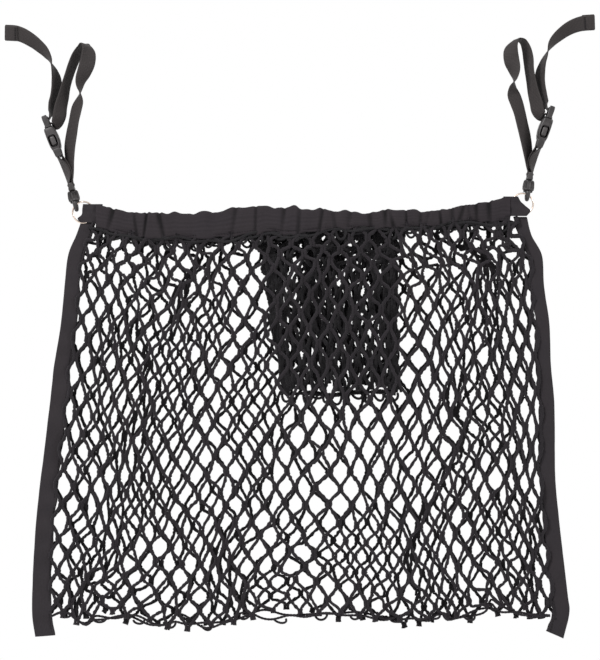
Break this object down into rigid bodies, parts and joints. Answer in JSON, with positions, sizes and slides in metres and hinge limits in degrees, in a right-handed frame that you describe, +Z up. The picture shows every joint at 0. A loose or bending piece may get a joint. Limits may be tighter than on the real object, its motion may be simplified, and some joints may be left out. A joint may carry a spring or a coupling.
{
  "type": "hanging net bag",
  "caption": "Wide flat net bag with an elastic fabric mouth, folded side tapes and an inner net pocket, hung from two webbing straps with side-release buckles and swivel snap hooks.",
  "frame": {"origin": "the middle of the straight line that the two strap loops hang on, between the two loops", "axes": "+X to the bag's right as seen from its front, +Y from the front net to the back net, +Z up"},
  "size_m": [0.5879, 0.0446, 0.6215],
  "materials": {
    "net_cord": "knotless polyester netting, matt black",
    "band_tape": "woven tape, gathered, matt charcoal",
    "side_tape": "woven folded tape, matt charcoal",
    "webbing": "ribbed polypropylene webbing, dark brown-grey",
    "thread": "polyester sewing thread",
    "elastic": "flat braided elastic",
    "buckle_plastic": "moulded acetal, satin",
    "hook_plastic": "moulded acetal, satin",
    "ring_metal": "thin plated steel wire"
  },
  "bodies": {
    "straps": {"left_long_strap": "webbing", "left_strap_stitching": "thread", "left_short_strap": "webbing", "left_buckle_ladder": "buckle_plastic", "left_buckle_socket": "buckle_plastic", "left_hook_eye": "hook_plastic", "right_long_strap": "webbing", "right_strap_stitching": "thread", "right_short_strap": "webbing", "right_buckle_ladder": "buckle_plastic", "right_buckle_socket": "buckle_plastic", "right_hook_eye": "hook_plastic"},
    "bag": {"front_net": "net_cord", "back_net": "net_cord", "bottom_selvedge": "net_cord", "front_band_casing": "band_tape", "front_elastic": "elastic", "back_band_casing": "band_tape", "back_elastic": "elastic", "pocket_front_net": "net_cord", "pocket_back_net": "net_cord", "pocket_left_seam": "net_cord", "pocket_right_seam": "net_cord", "pocket_bottom_hem": "net_cord", "left_side_binding": "side_tape", "left_ring_tab": "side_tape", "right_side_binding": "side_tape", "right_ring_tab": "side_tape"},
    "left_ring": {"left_ring": "ring_metal"},
    "left_hook": {"left_hook_body": "hook_plastic", "left_hook_gate_pin": "ring_metal"},
    "left_gate": {"left_hook_gate": "hook_plastic"},
    "left_arm_front": {"left_buckle_arm_front": "buckle_plastic"},
    "left_arm_back": {"left_buckle_arm_back": "buckle_plastic"},
    "right_ring": {"right_ring": "ring_metal"},
    "right_hook": {"right_hook_body": "hook_plastic", "right_hook_gate_pin": "ring_metal"},
    "right_gate": {"right_hook_gate": "hook_plastic"},
    "right_arm_front": {"right_buckle_arm_front": "buckle_plastic"},
    "right_arm_back": {"right_buckle_arm_back": "buckle_plastic"}
  },
  "joints": [
    {"name": "bag_swing", "type": "hinge", "parent": "straps", "child": "bag", "pos_m": [-0.2274, 0, -0.165], "axis": [0.9997, 0, 0.023], "range_deg": [-20, 20]},
    {"name": "left_ring_swing", "type": "hinge", "parent": "bag", "child": "left_ring", "pos_m": [-0.2112, 0, -0.1723], "axis": [0, 0, 1], "range_deg": [-3, 3]},
    {"name": "right_ring_swing", "type": "hinge", "parent": "bag", "child": "right_ring", "pos_m": [0.211, 0, -0.164], "axis": [0, 0, 1], "range_deg": [-3, 3]},
    {"name": "left_hook_swivel", "type": "hinge", "parent": "straps", "child": "left_hook", "pos_m": [-0.23025, 0, -0.15274], "axis": [0.225, 0, -0.9744], "range_deg": [-5, 5]},
    {"name": "right_hook_swivel", "type": "hinge", "parent": "straps", "child": "right_hook", "pos_m": [0.22598, 0, -0.14213], "axis": [-0.1219, 0, -0.9925], "range_deg": [-5, 5]},
    {"name": "left_gate_open", "type": "hinge", "parent": "left_hook", "child": "left_gate", "pos_m": [-0.22913, -0.003, -0.15762], "axis": [0.9744, 0, 0.225], "range_deg": [0, 16], "stiffness_Nm_per_rad": 0.05},
    {"name": "right_gate_open", "type": "hinge", "parent": "right_hook", "child": "right_gate", "pos_m": [0.22537, -0.003, -0.14709], "axis": [0.9925, 0, -0.1219], "range_deg": [0, 16], "stiffness_Nm_per_rad": 0.05},
    {"name": "left_front_arm_press", "type": "hinge", "parent": "straps", "child": "left_arm_front", "pos_m": [-0.25415, -0.0076, -0.08801], "axis": [0.9354, 0, 0.3535], "range_deg": [0, 9], "stiffness_Nm_per_rad": 0.3},
    {"name": "left_back_arm_press", "type": "hinge", "parent": "straps", "child": "left_arm_back", "pos_m": [-0.25415, 0.0076, -0.08801], "axis": [0.9354, 0, 0.3535], "range_deg": [-9, 0], "stiffness_Nm_per_rad": 0.3},
    {"name": "right_front_arm_press", "type": "hinge", "parent": "straps", "child": "right_arm_front", "pos_m": [0.24512, -0.0076, -0.07867], "axis": [0.9489, 0, -0.3156], "range_deg": [0, 9], "stiffness_Nm_per_rad": 0.3},
    {"name": "right_back_arm_press", "type": "hinge", "parent": "straps", "child": "right_arm_back", "pos_m": [0.24512, 0.0076, -0.07867], "axis": [0.9489, 0, -0.3156], "range_deg": [-9, 0], "stiffness_Nm_per_rad": 0.3}
  ],
  "couplings": [
    {"joint": "left_back_arm_press", "follows": "left_front_arm_press", "ratio": -1},
    {"joint": "right_back_arm_press", "follows": "right_front_arm_press", "ratio": -1}
  ]
}
